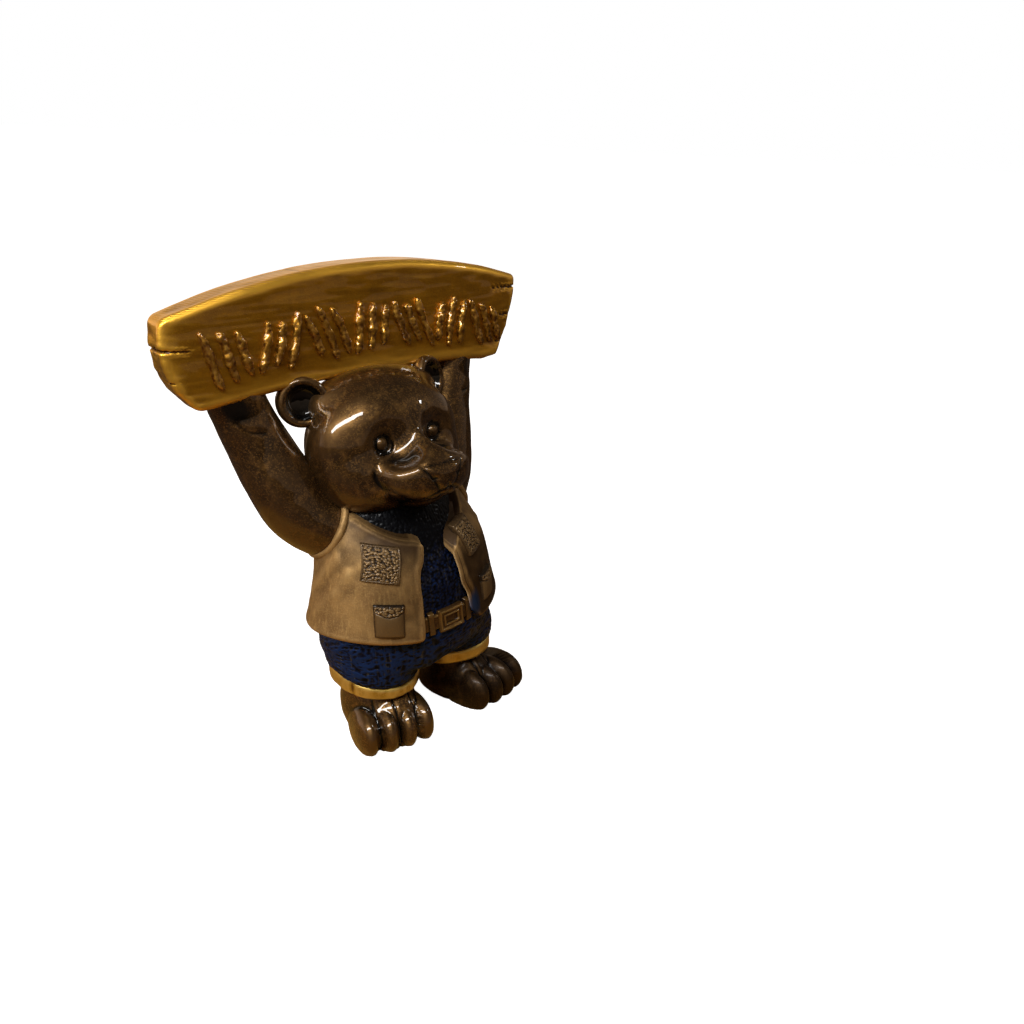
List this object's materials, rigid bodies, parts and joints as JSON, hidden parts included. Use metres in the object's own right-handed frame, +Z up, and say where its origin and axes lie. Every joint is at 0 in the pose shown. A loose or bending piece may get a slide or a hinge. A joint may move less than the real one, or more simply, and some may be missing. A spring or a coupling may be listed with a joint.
{
  "type": "bear statue with sign board",
  "caption": "Standing bear in a vest, cuffed trousers and belt that holds an arched plank sign over its head, cast as one piece on flat soles.",
  "frame": {"origin": "on the ground under the middle of the bounding box", "axes": "+Z up; the bear faces -Y and its own left hand is at +X"},
  "size_m": [0.177, 0.0683, 0.1979],
  "materials": {
    "bronze and gold paint": "metallic paint under a thick clear gloss coat"
  },
  "bodies": {
    "root": {"bear_statue": "bronze and gold paint"}
  },
  "joints": []
}
